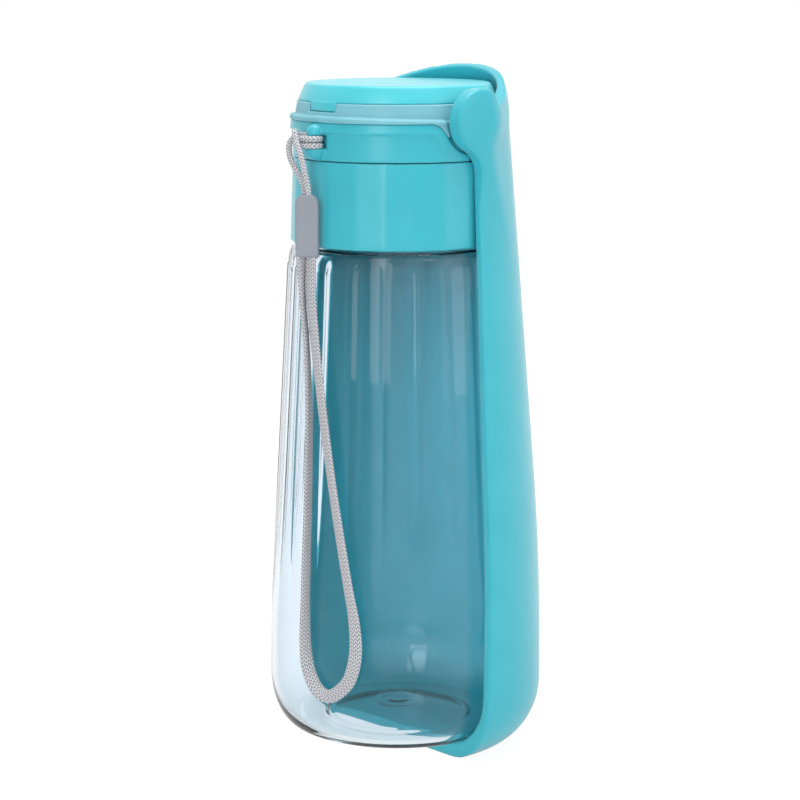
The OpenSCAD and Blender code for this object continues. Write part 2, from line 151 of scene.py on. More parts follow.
def skin(solid, xs, ys, zs, passes=2):
    """Points and quads of the surface where solid(x, y, z) is 0, by surface nets pulled onto the surface."""
    V = solid(*np.meshgrid(xs, ys, zs, indexing="ij"))
    inside = V < 0
    count = np.zeros(tuple(n - 1 for n in V.shape), np.int8)
    corners = [(a, b, c) for a in (0, 1) for b in (0, 1) for c in (0, 1)]
    nx, ny, nz = count.shape
    for a, b, c in corners:
        count += inside[a : a + nx, b : b + ny, c : c + nz]
    ci, cj, ck = np.nonzero((count > 0) & (count < 8))
    index = np.full(count.shape, -1, np.int32)
    index[ci, cj, ck] = np.arange(len(ci))
    low = np.stack([xs[ci], ys[cj], zs[ck]], 1)
    size = np.stack([xs[ci + 1], ys[cj + 1], zs[ck + 1]], 1) - low
    at = {c: V[ci + c[0], cj + c[1], ck + c[2]] for c in corners}
    total = np.zeros((len(ci), 3))
    hits = np.zeros(len(ci))
    for c in corners:
        for axis in range(3):
            if c[axis] == 0:
                d = tuple(1 if k == axis else c[k] for k in range(3))
                v0, v1 = at[c], at[d]
                cut = (v0 < 0) != (v1 < 0)
                t = np.where(cut, v0 / np.where(cut, v0 - v1, 1), 0)
                point = np.tile(np.array(c, float), (len(ci), 1))
                point[:, axis] = t
                total[cut] += point[cut]
                hits += cut
    points = low + size * total / hits[:, None]
    quads = []
    for axis in range(3):
        b, c = (axis + 1) % 3, (axis + 2) % 3
        span = [slice(None)] * 3
        span[axis] = slice(0, -1)
        first = inside[tuple(span)]
        span[axis] = slice(1, None)
        change = first != inside[tuple(span)]
        for k in (b, c):
            edge = [slice(None)] * 3
            edge[k] = 0
            change[tuple(edge)] = False
            edge[k] = -1
            change[tuple(edge)] = False
        where = np.stack(np.nonzero(change), 1)
        eb, ec = np.zeros(3, int), np.zeros(3, int)
        eb[b], ec[c] = 1, 1
        ring = [index[tuple((where - s).T)] for s in (eb * 0, eb, eb + ec, ec)]
        quad = np.stack(ring, 1)
        flip = ~first[tuple(where.T)]
        quad[flip] = quad[flip][:, ::-1]
        quads.append(quad)
    quads = np.concatenate(quads)
    quads = quads[(quads >= 0).all(1)]
    limit = size.max(1)

    def pull(p, times):
        e = 0.02
        for _ in range(times):
            d = solid(*p.T)
            g = np.stack([
                solid(p[:, 0] + e, p[:, 1], p[:, 2]) - solid(p[:, 0] - e, p[:, 1], p[:, 2]),
                solid(p[:, 0], p[:, 1] + e, p[:, 2]) - solid(p[:, 0], p[:, 1] - e, p[:, 2]),
                solid(p[:, 0], p[:, 1], p[:, 2] + e) - solid(p[:, 0], p[:, 1], p[:, 2] - e),
            ], 1) / (2 * e)
            move = -d[:, None] * g / np.maximum((g * g).sum(1), 0.2)[:, None]
            far = np.linalg.norm(move, axis=1)
            p = p + move * np.minimum(1, limit / np.maximum(far, 1e-9))[:, None]
        return p

    points = pull(points, 2)
    sides = np.concatenate([quads[:, [k, (k + 1) % 4]] for k in range(4)])
    for _ in range(passes):
        near = np.zeros_like(points)
        degree = np.zeros(len(points))
        for k in (0, 1):
            np.add.at(near, sides[:, k], points[sides[:, 1 - k]])
            np.add.at(degree, sides[:, k], 1)
        points = points + 0.5 * (near / np.maximum(degree, 1)[:, None] - points)
        points = pull(points, 2)
    return points, quads


def lathe(name, profile, turns, radius=None, **how):
    """A closed profile of (r, z) turned about the axis; radius(r, z, angle, i) may change a radius."""
    profile = np.array(profile, float)
    angle = np.arange(turns) * 2 * math.pi / turns
    points, rows = [], []
    for i, (r, z) in enumerate(profile):
        if r < 1e-6:
            rows.append([len(points)] * turns)
            points.append((0, 0, z))
            continue
        rr = np.full(turns, r) if radius is None else radius(r, z, angle, i)
        rows.append(list(range(len(points), len(points) + turns)))
        points += [(a * math.sin(t), -a * math.cos(t), z) for a, t in zip(rr, angle)]
    faces = []
    for i in range(len(profile)):
        a, b = rows[i], rows[(i + 1) % len(profile)]
        if a[0] == a[1] and b[0] == b[1]:
            continue
        for k in range(turns):
            m = (k + 1) % turns
            f = [a[k], a[m], b[m], b[k]]
            faces.append([v for j, v in enumerate(f) if v not in f[:j]])
    return make(name, points, faces, **how)


def arc(cu, cv, r, a0, a1, n):
    """Points of an arc of radius r about (cu, cv), from a0 to a1 degrees."""
    turns = [math.radians(a0 + (a1 - a0) * i / n) for i in range(n + 1)]
    return [(cu + r * math.cos(t), cv + r * math.sin(t)) for t in turns]


def taper(depth, r0, r1, full, arc0, arc1):
    """Radius at a depth below the start of a taper that begins and ends upright."""
    slope = (r1 - r0) / (full - arc0 / 2 - arc1 / 2)
    left = full - depth
    if depth < arc0:
        return r0 + slope * depth * depth / (2 * arc0)
    if left < arc1:
        return r1 - slope * left * left / (2 * arc1)
    return r0 + slope * (depth - arc0 / 2)


def heel(r, z, a, b, n=24):
    """Points of a quarter ellipse, a wide and b high, from (r, z) outwards and up."""
    turns = [math.pi / 2 * i / n for i in range(n + 1)]
    return [(r + a * math.sin(t), z + b * (1 - math.cos(t))) for t in turns]


# ---- trough ----
def trough_line(foot, heel_w, heel_h, end_r, depth, arc0, arc1, ball):
    """Half of an upright outline: the foot, its heel, the tapered wall and the hood's ball."""
    line = [(0, foot)] + heel(end_r - heel_w, foot, heel_w, heel_h)
    n = 200
    for i in range(1, n):
        down = depth * (n - i) / n
        line.append((taper(down, ball, end_r, depth, arc0, arc1), HINGE - down))
    for a in np.arange(0, 89, 1.5):
        line.append((ball * math.cos(math.radians(a)), HINGE + ball * math.sin(math.radians(a))))
    return line + [(0, HINGE + ball)]


outer = trough_line(
    foot=-0.5, heel_w=18.5, heel_h=20.5, end_r=46.5, depth=177.0, arc0=5, arc1=67, ball=HOOD_OUT)
cavity = trough_line(
    foot=3.5, heel_w=19, heel_h=17, end_r=43.4, depth=178.5, arc0=12, arc1=61, ball=HOOD_IN)
outer_line = outline_distance(outer, False, (0, 56), (-6, 222))
cavity_line = outline_distance(cavity, False, (0, 56), (-6, 222))
HOOD = math.radians(26.9)  # slope of the hood's edge above the hinge
RIM_Y, RIM_SLOPE = 1.4, 0.03  # front edge of the trough: its place at the hinge and its slope
TILT = math.radians(0.46)  # the outside leans back by this much
FILLET_TOP, FILLET_LOW = 0.9, 9.0  # beside the ears
EDGE_R = 0.65  # rounding of the rim
EAR_FLAT, EAR_SOFT = 4, 6  # the ear's face is flat to this radius, then falls away this softly
EAR_BLEND = 3.0
DISC_IN = 28  # the ear's disc starts here, inside the side wall
BOSS_R = 4.5  # the ears turn on bosses of this radius


def fillet_on(edge, shift, turn, r):
    """Points of a concave fillet of radius r from a straight edge to the ear's circle."""
    side, reach = shift + r, EAR_R + r
    along = math.sqrt(reach * reach - side * side)
    c, s = math.cos(edge), math.sin(edge)

    def place(p):
        u, v = p[0], p[1] * turn
        return (u * c - v * s, u * s + v * c)

    a0 = -90.0
    a1 = math.degrees(math.atan2(-side, -along))
    if a1 > a0:
        a1 -= 360
    return [place(p) for p in arc(along, side, r, a0, a1, 16)]


top = fillet_on(HOOD, 0, 1, FILLET_TOP)
low = fillet_on(math.radians(-90) - math.atan(RIM_SLOPE), -RIM_Y, -1, FILLET_LOW)
a_top = math.degrees(math.atan2(top[-1][1], top[-1][0]))
a_low = math.degrees(math.atan2(low[-1][1], low[-1][0])) % 360
ear_arc = arc(0, 0, EAR_R, a_top, a_low, 60)
far, below = 90, 210
side = [(far, far * math.tan(HOOD))] + top + ear_arc + low[::-1]
side += [(RIM_Y - RIM_SLOPE * below, -below), (far, -below)]
side_line = outline_distance(side, True, (-14, 56), (-206, 24))


def trough_solid(x, y, z):
    zr = z - HINGE
    yt = y * math.cos(TILT) - zr * math.sin(TILT)
    zt = y * math.sin(TILT) + zr * math.cos(TILT)
    ax = np.abs(x)
    from_hinge = np.hypot(y, zr)
    outside = outer_line(np.hypot(x, yt), zt + HINGE)
    # the ear's face falls away slowly down the side and quickly round the back
    slope = 0.2 + 0.75 * smoothstep(np.maximum(y, 0) / np.maximum(from_hinge, 0.1), 0.3, 1.0)
    fall = np.hypot(np.maximum(from_hinge - EAR_FLAT, 0), EAR_SOFT) - EAR_SOFT
    disc = -smin((EAR_OUT - slope * fall - ax) / np.sqrt(1 + slope**2), ax - DISC_IN, 4.0)
    outside = smin(outside, disc, EAR_BLEND)
    wedge = np.maximum(RIM_Y + RIM_SLOPE * zr - y, zr * math.cos(HOOD) - y * math.sin(HOOD))
    within = np.minimum(cavity_line(np.hypot(x, y), z), np.maximum(ax - EAR_IN, -wedge))
    wall = rmax(np.maximum(outside, -within), side_line(y, zr), EDGE_R)
    boss = np.maximum(np.maximum(from_hinge - BOSS_R, ax - EAR_IN - 0.5), HOOD_IN + 0.2 - ax)
    return rmax(np.minimum(wall, boss), -z, 0.8)


xs = both_sides((0, 26, 0.9), (26, 41, 0.55), (41, 49, 0.8))
ys = steps((-12, 7, 0.55), (7, 37, 0.8), (37, 50, 1.0))
zs = steps((-1.2, 8, 0.7), (8, 30, 1.1), (30, 150, 3.0), (150, 178, 1.4), (178, 216, 0.55))
trough = make("drinking_trough", *skin(trough_solid, xs, ys, zs), node="trough", body="trough")


# ---- head shell, with its lug ----
CORNER_R = 3.8  # corner of the flange above the ear's pocket
DECK_T = 1.8
DECK_BORE = 10.35
LUG_Y, LUG_LOW, LUG_TOP = -33.5, HINGE - 8.9, HINGE - 3.7
SLOT_Z, SLOT_H, SLOT_W = HINGE - 6.45, 3.9, 7.4  # the cord passes here, behind the bar
SLOT_BACK = -31.2
BAR_Y, BAR_R = -34.5, 1.4
PIN_END = 31.6


def head_corner(y, zr):
    """Side outline of the shell's front: under the flange's top, clear of the ear, with a round corner."""
    return rmax(zr - (FLANGE_TOP - HINGE), POCKET_R - np.hypot(y, zr), CORNER_R)


def capsule(x, y, z, px, py, z0, z1, r0, r1):
    """Distance to an upright peg with round ends, of radius r0 at z0 and r1 at z1."""
    t = np.clip((z - z0) / (z1 - z0), 0, 1)
    return np.sqrt((x - px) ** 2 + (y - py) ** 2 + (z - z0 - t * (z1 - z0)) ** 2) - (r0 + (r1 - r0) * t)


def cap_solid(x, y, z):
    zr = z - HINGE
    rho = np.hypot(x, y)
    corner = head_corner(y, zr)
    back = np.maximum(np.maximum(rho - HEAD_R, CAP_Z - z), z - FLANGE_TOP)
    rise = smoothstep(corner, -3.5, -2.8) * smoothstep(zr, -10.0, -6.2)
    front_r = FRONT_R + (FLANGE_R - FRONT_R + 0.25 - 0.16 * np.clip(zr + 4, 0, 3.3)) * rise
    front = rmax(rmax(rho - front_r, corner, 0.5), CAP_Z - z, 0.35)
    front = np.maximum(front, y)
    inside = np.maximum(rho - SHELL_IN, z - (FLANGE_TOP - DECK_T))
    shell = np.maximum(np.maximum(rmin(back, front, 0.15), -inside), CORE_IN - rho)
    lug = capsule(x, y, z, 0, LUG_Y, LUG_LOW, LUG_TOP, 3.2, 2.6)
    shell = smin(shell, np.maximum(lug, 31.5 - rho), 0.9)
    gap = np.maximum(np.abs(z - SLOT_Z) - SLOT_H / 2, np.abs(x) - SLOT_W / 2)
    gap = np.maximum(gap, y - SLOT_BACK)
    shell = rmax(shell, -gap, 0.35)
    bar = np.maximum(np.hypot(x, y - BAR_Y) - BAR_R, np.abs(z - SLOT_Z) - 3.0)
    shell = smin(shell, bar, 0.5)
    height = np.maximum(FLANGE_TOP - DECK_T - z, z - (BAND_TOP - 0.4))
    core = np.maximum(np.maximum(rho - CORE_R, CORE_IN - rho), height)
    half = DECK_T / 2
    plate = np.maximum(np.maximum(rho - HEAD_R + 0.5, CORE_IN - rho), np.abs(z - FLANGE_TOP + half) - half)
    deck = np.maximum(np.maximum(rho - CORE_R, DECK_BORE - rho), np.abs(z - HINGE - half) - half)
    pins = np.maximum(np.maximum(np.hypot(y, zr) - BOSS_R, np.abs(x) - PIN_END), CORE_IN - np.abs(x))
    body = np.minimum(np.minimum(shell, plate), np.minimum(core, deck))
    return np.minimum(body, pins)


xs = both_sides((0, 35.5, 0.42))
ys = steps((-38.5, -24, 0.38), (-24, 34, 0.46))
zs = steps((186.2, 204.4, 0.4))
cap = make("head_shell", *skin(cap_solid, xs, ys, zs), node="cap_body")


# ---- silicone band and lip ----
LIP_DROP = 4.6  # the lip follows the flange's corner to this far below the hinge
LIP_LEAN = math.radians(2)  # its top leans forwards
TAB_W, TAB_H = 11.7, 2.6  # the lid's thumb tab, for which the band has a notch


def lip_solid(x, y, z):
    zr = z - HINGE
    rho = np.hypot(x, y)
    corner = head_corner(y, zr)
    band_r = HEAD_R - 0.5 * smoothstep(z, LIP_TOP, BAND_TOP)
    band = rmax(np.maximum(rho - band_r, FLANGE_TOP - z), z - BAND_TOP, 0.4)
    above = zr * math.cos(LIP_LEAN) + y * math.sin(LIP_LEAN)
    ring = rmax(rmax(rho - LIP_R, above, 0.75), (POCKET_R - 1.2) - np.hypot(y, zr), 0.9)
    ring = np.maximum(np.maximum(ring, -corner), np.maximum(y, -LIP_DROP - zr))
    lining = np.maximum(np.maximum(rho - 32.35, HEAD_R - 0.4 - rho), np.maximum(zr, CAP_Z + 0.4 - z))
    beside_ear = np.maximum(np.hypot(y, zr) - POCKET_R - 0.05, y + 0.5)
    lining = np.maximum(np.maximum(lining, -LIP_DROP - zr), beside_ear)
    both = np.minimum(smin(band, ring, 0.5), lining)
    both = np.maximum(both, CORE_R - rho)
    notch = np.maximum(np.abs(x) - TAB_W / 2 - 0.2, np.maximum(LID_Z - TAB_H - 0.15 - z, y))
    hinge = np.maximum(np.hypot(y, zr) - 4.6, 20 - np.abs(x))
    return np.maximum(np.maximum(both, -notch), -hinge)


xs = both_sides((0, 34.5, 0.42))
ys = steps((-34.5, 33, 0.42))
zs = steps((186.6, 204.6, 0.38))
lip = make("silicone_band", *skin(lip_solid, xs, ys, zs), node="lip_seal")


# ---- lid ----
LID_R, LID_BORE, LID_DRAFT, LID_WALL = 30.75, 29.0, 2.3, 1.8
TAB_OUT, TAB_IN = 30.95, 29.3


def lid_solid(x, y, z):
    rho = np.hypot(x, y)
    up = np.clip((z - LID_Z) / (LID_TOP - LID_Z), 0, 1)
    outside = rmax((rho - LID_R + LID_DRAFT * up**1.3) * 0.93, z - LID_TOP, 0.7)
    outside = rmax(outside, LID_Z - 0.05 - z, 0.12)
    hollow = np.maximum(rho - LID_BORE + LID_DRAFT * up, z - (LID_TOP - LID_WALL))
    body = np.maximum(outside, -hollow)
    tab = rmax(rmax(np.abs(x) - TAB_W / 2, rho - TAB_OUT, 0.3), LID_Z - TAB_H - z, 0.3)
    tab = np.maximum(np.maximum(tab, TAB_IN - rho), np.maximum(z - LID_Z - 0.3, y))
    return np.minimum(body, tab)


xs = both_sides((0, 32.2, 0.42))
ys = steps((-32.4, 32.0, 0.42))
zs = steps((201.0, 210.2, 0.34))
lid = make("pull_lid", *skin(lid_solid, xs, ys, zs), node="lid_cover", body="lid")


# ---- ring nut ----
def facet(a):
    """Radius factor of a polygon with soft corners, at angle a from a flat's centre."""
    step = 2 * math.pi / FLATS
    b = np.abs((a + step / 2) % step - step / 2)
    return -np.log(np.exp(-260 / np.cos(b)) + np.exp(-260 / np.cos(step - b))) / 260 + 0.0006


NUT_R, NUT_TAPER = 33.6, 0.95
NUT_BORE, NUT_HOLE, NUT_LID = 29.3, 26.6, 1.9
NUT_LOW_EDGE, NUT_TOP_EDGE = 0.6, 0.35


def nut_wall(z):
    """Radius to the corners."""
    return NUT_R - NUT_TAPER * (z - COLLAR_Z) / (COLLAR_TOP - COLLAR_Z)


flat = math.cos(math.pi / FLATS)
low_r, top_r = nut_wall(COLLAR_Z) * flat, nut_wall(COLLAR_TOP) * flat
nut = [(NUT_BORE, COLLAR_Z + 0.3), (NUT_BORE + 0.3, COLLAR_Z)]
nut += arc(low_r - NUT_LOW_EDGE, COLLAR_Z + NUT_LOW_EDGE, NUT_LOW_EDGE, -90, 0, 5)
nut += [(nut_wall(z) * flat, z) for z in np.linspace(COLLAR_Z + 2, COLLAR_TOP - 2, 14)]
nut += arc(top_r - NUT_TOP_EDGE, COLLAR_TOP - NUT_TOP_EDGE, NUT_TOP_EDGE, 0, 90, 4)
outer_count = len(nut)
nut += [(NUT_HOLE, COLLAR_TOP), (NUT_HOLE, COLLAR_TOP - NUT_LID), (NUT_BORE, COLLAR_TOP - NUT_LID)]
collar = lathe(
    "ring_nut", nut, FLATS * 14,
    lambda r, z, a, i: r * facet(a) if 2 <= i < outer_count else np.full(len(a), r),
    node="screw_collar", body="collar",
)


# ---- bottle ----
WALL = 1.3
FOOT_EXTRA = 1.0  # the foot is this much thicker than the wall
HEEL_R, HEEL_W, HEEL_H = 32.0, 8.9, 17.0
DOME_R, DOME_H, DOME_Z = 21, 4.2, 6.5  # the base's raised middle
FLUTE_D = 0.42
NECK_IN, THREAD_H, THREAD_PITCH = 25.6, 1.2, 6


def bottle_r(z):
    return taper(SHOULDER_Z - z, SHOULDER_R, BELLY_R, SHOULDER_Z - BELLY_Z, 0.01, 33)


def elbow(r, z, w, h, degrees):
    """Points of a quarter ellipse, w wide and h high, from (r, z) upwards and inwards."""
    turns = [math.radians(a) for a in degrees]
    return [(r - w * (1 - math.cos(t)), z + h * math.sin(t)) for t in turns]


def underside():
    """From the middle outwards: the dome with two fine rings, its step and the foot."""
    r = np.array([0, 1.5, 2.9, 3.2, 3.5, 5, 6.9, 7.2, 7.5, 9, 11, 13, 15, 17, 19, 20.3, DOME_R])
    z = DOME_Z + DOME_H * (1 - (r / DOME_R) ** 2)
    for ring_r, ring_h in ((3.2, 0.1), (7.2, 0.07)):
        z = z - ring_h * (1 - smoothstep(r, ring_r - 0.3, ring_r + 0.3))
    step = [(21.6, 1.14), (22.2, 1.0), (22.6, 0.7), (23.0, 0.3), (23.5, 0.05), (24.1, 0), (26, 0), (29, 0)]
    line = [*zip(r, z)] + [(a, BASE_Z + b) for a, b in step]
    return line + heel(HEEL_R, BASE_Z, HEEL_W, HEEL_H, 26)


def neck():
    """The neck's outside with two thread rings, its mouth and its bore."""
    line = [(28.9, SHOULDER_Z), (28.2, SHOULDER_Z + 0.2), (27.9, SHOULDER_Z + 0.5)]
    line.append((NECK_R, SHOULDER_Z + 0.9))
    for k in (0, 1):
        t, crest = COLLAR_Z + 7 + THREAD_PITCH * k, NECK_R + THREAD_H
        line += [(NECK_R, t), (crest, t + 0.8), (crest, t + 1.6), (NECK_R, t + 2.4)]
    line += [(NECK_R, NECK_TOP - 0.3), (NECK_R - 0.3, NECK_TOP)]
    line += [(NECK_IN + 0.3, NECK_TOP), (NECK_IN, NECK_TOP - 0.3)]
    line += [(NECK_IN, z) for z in np.linspace(NECK_TOP - 2, 161.0, 8)]
    return line + [(25.9, 159.8), (26.8, 159.1), (28.5, 158.7)]


def bottle_inside():
    """From the shoulder down to the middle of the floor."""
    line = elbow(SHOULDER_R - WALL, 153.3, 2.4, 5.35, range(82, -1, -5))
    line += [(bottle_r(z) - WALL, z) for z in np.linspace(152.8, BELLY_Z + 1, 60)]
    floor = BASE_Z + FOOT_EXTRA + WALL
    line += heel(HEEL_R, floor, HEEL_W - WALL, HEEL_H - WALL - FOOT_EXTRA, 20)[::-1]
    dome = DOME_R + 1.5
    radii = (dome, 21, 19, 17, 15, 13, 11, 9, 7, 5, 3, 1.5, 0)
    return line + [(r, floor + DOME_H * (1 - (r / dome) ** 2)) for r in radii]


base = underside()
wall_z = np.concatenate([np.linspace(BELLY_Z + 1, 140, 60), np.linspace(140.6, 153.2, 28)])
first_fluted, last_fluted = len(base), len(base) + len(wall_z) + 20
shoulder = elbow(SHOULDER_R, SHOULDER_Z - 6.5, 2.3, 6.5, range(3, 88, 3))
profile = base + [(bottle_r(z), z) for z in wall_z] + shoulder + neck() + bottle_inside()


def flutes(r, z, a, i):
    """22 shallow hollows round the wall, with arched tops, that fade out below."""
    if not first_fluted <= i < last_fluted:
        return np.full(len(a), r)
    step = 2 * math.pi / FLATS
    b = np.abs((a + step / 2) % step - step / 2) / (step / 2)
    top = 158.2 - 3.2 * b**6
    here = np.full(len(a), z)
    depth = FLUTE_D * smoothstep(here, 42, 96) * (1 - smoothstep(here, top - 3.6, top))
    ridge = 0.35 * np.exp(-(((1 - b) / 0.16) ** 2))
    return r - depth * (1.25 - b**2.4 - ridge)


bottle = lathe("clear_bottle", profile, FLATS * (26), flutes, node="bottle")


# ---- lanyard ----
def smooth_path(points, gap):
    """Catmull-Rom through the points, at even steps of about gap mm."""
    p = np.array(points, float)
    p = np.vstack([2 * p[0] - p[1], p, 2 * p[-1] - p[-2]])
    out = []
    for i in range(1, len(p) - 2):
        for t in np.linspace(0, 1, 60, endpoint=False):
            a, b, c, d = p[i - 1 : i + 3]
            bend, twist = 2 * a - 5 * b + 4 * c - d, 3 * b - a - 3 * c + d
            out.append(0.5 * (2 * b + (c - a) * t + bend * t**2 + twist * t**3))
    out = np.array([*out, p[-2]])
    s = np.concatenate([[0], np.cumsum(np.linalg.norm(np.diff(out, axis=0), axis=1))])
    at = np.linspace(0, s[-1], max(8, int(s[-1] / gap)))
    return np.stack([np.interp(at, s, out[:, k]) for k in range(3)], 1), at


def braid(name, points, width, thickness, turn, cells, pitch, gap, **how):
    """A braided cord of a rounded section along the points.

    turn gives, at each share of the length, by how many degrees the width is turned out of the view
    from the front right. The texture coordinates count the plait's strands: cells of them round the
    cord, and one for each pitch along it.
    """
    path, at = smooth_path(points, gap)
    tangent = np.gradient(path, axis=0)
    tangent /= np.linalg.norm(tangent, axis=1)[:, None]
    outward = np.array([0.74, -0.67, 0.0])
    side = np.cross(tangent, outward)
    side /= np.linalg.norm(side, axis=1)[:, None]
    front = np.cross(side, tangent)
    angle = np.radians(np.interp(at / at[-1], *zip(*turn)))[:, None]
    w = np.cos(angle) * side + np.sin(angle) * front
    n = np.cross(tangent, w)
    count = 24
    a = np.arange(count + 1) * 2 * math.pi / count
    c, sn = np.cos(a), np.sin(a)
    broad = width / 2 * np.sign(c) * np.abs(c) ** 0.8
    thin = thickness / 2 * np.sign(sn) * np.abs(sn) ** 0.85
    section = np.stack([broad, thin], 1)
    across = np.concatenate([[0], np.cumsum(np.linalg.norm(np.diff(section, axis=0), axis=1))])
    p = path[:, None] + section[:, :1] * w[:, None] + section[:, 1:] * n[:, None]
    rows, cols = p.shape[:2]
    ids = np.arange(rows * cols).reshape(rows, cols)
    quads = np.stack([ids[:-1, :-1], ids[:-1, 1:], ids[1:, 1:], ids[1:, :-1]], -1).reshape(-1, 4)
    faces = quads.tolist() + [ids[0, :-1][::-1].tolist(), ids[-1, :-1].tolist()]
    uv = np.stack([
        np.broadcast_to(across / across[-1] * cells, (rows, cols)),
        np.broadcast_to((at / pitch)[:, None], (rows, cols)),
    ], -1).reshape(-1, 2)
    obj = make(name, p.reshape(-1, 3), faces, uv=uv, **how)
    return obj, path, at[-1]


CORD = [
    (0.2, -38, -24), (-0.9, -37.5, -19.5), (-2.9, -38.6, -15), (-6.2, -38.3, -11), (-7.3, -37.4, -7),
    (-5.4, -35.4, -4.6), (-2.6, -33.2, -5.4), (0, -32.3, -5.5), (2.2, -33.4, -5.5), (2.3, -35.8, -5.5),
    (0.4, -37, -5.5), (-1.8, -37.3, -5.4), (-3.6, -37.6, -5.6), (-4.4, -37.8, -6.5), (-3.6, -37.6, -7.4),
    (-1.8, -37.3, -7.5), (0.4, -37, -7.5), (2.3, -35.8, -7.5), (2.2, -33.4, -7.5), (0, -32.3, -7.5),
    (-2.6, -33.4, -7.4), (-4.6, -35, -7.2), (-5.4, -36.4, -4.6), (-3.6, -38.5, -3.4), (-1.8, -39.4, -6.2),
    (0.1, -39.5, -10), (1.5, -39.1, -15), (1.9, -38.2, -19.5), (1.8, -37.7, -24),
]
STRAP = [
    (-0.1, -38.9, -39), (-0.9, -38.6, -45), (-0.9, -38, -56), (0.8, -38, -70), (2.5, -38.8, -90),
    (3.3, -40.1, -115), (3.6, -41.3, -136), (3.9, -42.1, -152), (4.4, -42.4, -162), (5.9, -42.3, -169),
    (9.1, -41.8, -174), (13.1, -40.8, -175.6), (16.9, -39.4, -173.5), (20, -37.8, -169), (21.5, -36.8, -161),
    (20.9, -36.9, -151), (18.6, -37.6, -139), (13.4, -38.2, -114), (8.6, -38.2, -90), (4.6, -37.7, -69),
    (2.2, -37.2, -55), (1.6, -37, -45), (2.1, -37, -39),
]


def route(points):
    return [(x, y, HINGE + z) for x, y, z in points]


cord, cord_path, cord_length = braid(
    "lanyard_cord_braid", route(CORD), 1.85, 1.8, [(0, 0), (1, 0)], 8, 1.0, 0.3, node="lanyard_cord")
strap, strap_path, strap_length = braid(
    "lanyard_strap_braid", route(STRAP), 4.2, 1.5,
    [(0, 40), (0.012, 52), (0.035, 72), (0.1, 76), (0.25, 62), (0.38, 55), (0.43, 38), (0.47, 12),
     (0.53, 8), (0.57, 25), (0.62, 50), (0.75, 58), (0.9, 55), (0.97, 45), (1, 45)],
    14, 1.2, 0.35, node="lanyard_strap")


SLEEVE_X, SLEEVE_Y, SLEEVE_Z = 1.1, -37.8, 158  # the middle of its lower end
SLEEVE_W, SLEEVE_T, SLEEVE_L = 7.0, 3.2, 19
SLEEVE_TURN = math.radians(42)


def sleeve_solid(x, y, z):
    c, s = math.cos(SLEEVE_TURN), math.sin(SLEEVE_TURN)
    u = (x - SLEEVE_X) * c + (y - SLEEVE_Y) * s
    v = -(x - SLEEVE_X) * s + (y - SLEEVE_Y) * c
    h = z - SLEEVE_Z
    face = np.maximum(rmax(np.abs(u) - SLEEVE_W / 2, h - SLEEVE_L, 2.9), -h)
    body = rmax(face, np.abs(v) - SLEEVE_T / 2, 0.55)
    hole = np.maximum(np.maximum(np.abs(u) - 2.7, np.abs(v) - 0.95), h - 1.6)
    return np.maximum(body, -hole)


xs, ys, zs = steps((-3, 5.2, 0.25)), steps((-42, -33.5, 0.25)), steps((157.5, 177.5, 0.3))
sleeve = make("lanyard_sleeve_shell", *skin(sleeve_solid, xs, ys, zs), node="lanyard_sleeve")


# ---- materials ----
def material(name, **values):
    m = bpy.data.materials.new(name)
    m.use_nodes = True
    shader = m.node_tree.nodes["Principled BSDF"]
    for key, value in values.items():
        shader.inputs[key.replace("_", " ")].default_value = value
    return m, m.node_tree, shader


def srgb(*colour):
    """A node colour from 0 to 255 values, all above the curve's dark foot."""
    return tuple(((c / 255 + 0.055) / 1.055) ** 2.4 for c in colour) + (1.0,)


def noise(tree, scale, detail=2.0, stretch=(1, 1, 1)):
    coord = tree.nodes.new("ShaderNodeTexCoord")
    mapping = tree.nodes.new("ShaderNodeMapping")
    mapping.inputs["Scale"].default_value = stretch
    tree.links.new(coord.outputs["Object"], mapping.inputs["Vector"])
    node = tree.nodes.new("ShaderNodeTexNoise")
    node.inputs["Scale"].default_value = scale
    node.inputs["Detail"].default_value = detail
    tree.links.new(mapping.outputs["Vector"], node.inputs["Vector"])
    return node.outputs["Fac"]


def remap(tree, value, low, high, from_low=0.3, from_high=0.7):
    node = tree.nodes.new("ShaderNodeMapRange")
    node.inputs["From Min"].default_value = from_low
    node.inputs["From Max"].default_value = from_high
    node.inputs["To Min"].default_value = low
    node.inputs["To Max"].default_value = high
    tree.links.new(value, node.inputs["Value"])
    return node.outputs["Result"]


def blend_colour(tree, value, one, two):
    node = tree.nodes.new("ShaderNodeMix")
    node.data_type = "RGBA"
    node.inputs[6].default_value = one
    node.inputs[7].default_value = two
    tree.links.new(value, node.inputs[0])
    return node.outputs[2]


def mottle(tree, shader, scale, one, two):
    """Base colour that drifts softly between two close ones."""
    soft = remap(tree, noise(tree, scale), 0, 1)
    tree.links.new(blend_colour(tree, soft, srgb(*one), srgb(*two)), shader.inputs["Base Color"])


def bump(tree, shader, height, strength, distance):
    node = tree.nodes.new("ShaderNodeBump")
    node.inputs["Strength"].default_value = strength
    node.inputs["Distance"].default_value = distance
    tree.links.new(height, node.inputs["Height"])
    tree.links.new(node.outputs["Normal"], shader.inputs["Normal"])


def plastic(name, colour, darker, rough, grain=0.00002, sheen=0.0):
    m, tree, shader = material(name, Specular_IOR_Level=0.5, Sheen_Weight=sheen, Sheen_Roughness=0.35)
    mottle(tree, shader, 60, darker, colour)
    satin = remap(tree, noise(tree, 180, 2), rough - 0.015, rough + 0.02)
    tree.links.new(satin, shader.inputs["Roughness"])
    bump(tree, shader, noise(tree, 1500, 1), 0.1, grain)
    return m


